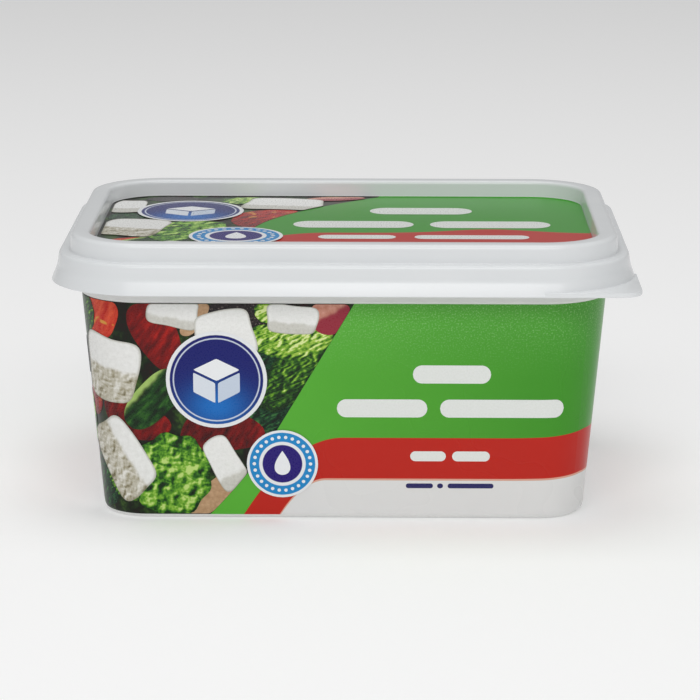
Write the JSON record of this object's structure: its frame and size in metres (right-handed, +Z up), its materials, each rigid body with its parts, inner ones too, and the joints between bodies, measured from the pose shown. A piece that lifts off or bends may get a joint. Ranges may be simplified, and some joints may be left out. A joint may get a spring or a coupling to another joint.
{
  "type": "cheese tub",
  "caption": "Shut rectangular plastic tub of soft white cheese, with tapered printed walls, a press-on lid with a raised rim round a recessed panel, and a corner lift tab.",
  "frame": {"origin": "middle of the tub's footprint, on the surface it stands on", "axes": "+Z up, +X along the long side, to the right as seen from the printed front, and -Y out of the printed front"},
  "size_m": [0.14, 0.102, 0.0684],
  "materials": {
    "tub": "white moulded plastic with a glossy printed label moulded into the walls",
    "lid": "satin white moulded plastic",
    "print": "glossy printed film in green, red and white"
  },
  "bodies": {
    "root": {"tub": "tub", "lid": "lid"}
  },
  "joints": []
}
